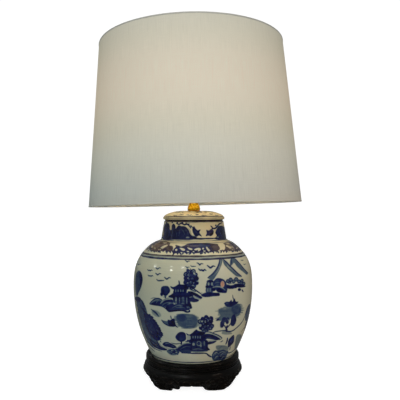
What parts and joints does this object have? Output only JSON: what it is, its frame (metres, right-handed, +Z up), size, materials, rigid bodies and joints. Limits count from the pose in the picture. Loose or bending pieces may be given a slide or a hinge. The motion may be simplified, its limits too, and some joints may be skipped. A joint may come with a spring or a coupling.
{
  "type": "table lamp",
  "caption": "Table lamp: lidded porcelain jar on a carved footed wooden stand, clamped on a threaded pipe, with turn-knob socket, bulb, harp and a tapered drum shade on a spider.",
  "frame": {"origin": "on the floor, on the axis of the threaded pipe that carries the lid, socket and harp; within about 3 mm of the middle of the shade's outline, which leans a little", "axes": "+Z up along the pipe, -Y the decorated front seen in the picture, +X to the right seen from the front"},
  "size_m": [0.4071, 0.4074, 0.6759],
  "materials": {
    "dark_wood": "satin, nearly black carved hardwood",
    "felt": "pressed felt",
    "porcelain": "glossy pale glaze with cobalt brushwork",
    "lid_porcelain": "glossy cream glaze with cobalt brushwork",
    "zinc_steel": "zinc plated",
    "brass": "polished, lacquered",
    "brass_plated_steel": "brass plated steel wire and strip",
    "bushing_plastic": "moulded black",
    "fibre_sleeve": "pressed fibre insulating sleeve",
    "phenolic": "moulded phenolic",
    "knob_plastic": "moulded, ribbed",
    "bulb_glass": "frosted, lit",
    "bulb_aluminium": "bright rolled thread",
    "bulb_contact": "black insulator with a tinned tip",
    "linen": "fine off-white linen, laminated",
    "liner": "white styrene backing",
    "hem_tape": "rolled linen edge",
    "ring_steel": "white powder coated wire"
  },
  "bodies": {
    "lamp_base": {"stand_top": "dark_wood", "stand_skirt": "dark_wood", "foot_pads": "felt", "jar_body": "porcelain", "jar_lid": "lid_porcelain", "threaded_pipe": "zinc_steel", "bottom_washer": "zinc_steel", "bottom_nut": "zinc_steel", "inlet_bushing": "bushing_plastic", "check_ring": "brass", "brass_neck": "brass", "harp_saddle": "brass_plated_steel", "socket_cap": "brass", "socket_set_screw": "zinc_steel", "socket_shell": "brass", "socket_insulator": "fibre_sleeve", "socket_body": "phenolic", "socket_screw_shell": "brass", "socket_contact": "brass", "terminal_screws": "brass"},
    "switch": {"switch_shaft": "phenolic", "switch_knob": "knob_plastic"},
    "bulb": {"bulb_glass": "bulb_glass", "bulb_cap": "bulb_aluminium", "bulb_contact": "bulb_contact"},
    "harp": {"harp_wire": "brass_plated_steel", "harp_top_plate": "brass_plated_steel", "harp_stud": "brass"},
    "left_sleeve": {"harp_sleeve_left": "brass_plated_steel"},
    "right_sleeve": {"harp_sleeve_right": "brass_plated_steel"},
    "shade": {"shade_cover": "linen", "shade_liner": "liner", "shade_top_hem": "hem_tape", "shade_bottom_hem": "hem_tape", "shade_top_ring": "ring_steel", "shade_bottom_ring": "ring_steel", "spider_arms": "ring_steel", "spider_washer": "ring_steel"},
    "finial": {"finial": "brass"}
  },
  "joints": [
    {"name": "switch_turn", "type": "hinge", "parent": "lamp_base", "child": "switch", "pos_m": [0, -0.02, 0.383], "axis": [0, -1, 0], "continuous": true},
    {"name": "bulb_lift", "type": "slide", "parent": "lamp_base", "child": "bulb", "axis": [0, 0, 1], "range_m": [0, 0.028]},
    {"name": "harp_lift", "type": "slide", "parent": "lamp_base", "child": "harp", "axis": [0, 0, 1], "range_m": [0, 0.02]},
    {"name": "left_sleeve_lift", "type": "slide", "parent": "harp", "child": "left_sleeve", "axis": [0, 0, 1], "range_m": [0, 0.012]},
    {"name": "right_sleeve_lift", "type": "slide", "parent": "harp", "child": "right_sleeve", "axis": [0, 0, 1], "range_m": [0, 0.012]},
    {"name": "shade_turn", "type": "hinge", "parent": "harp", "child": "shade", "pos_m": [-0.0022, 0, 0.533], "axis": [-0.0272, 0, 0.9996], "continuous": true},
    {"name": "finial_lift", "type": "slide", "parent": "harp", "child": "finial", "axis": [-0.0272, 0, 0.9996], "range_m": [0, 0.01]}
  ]
}
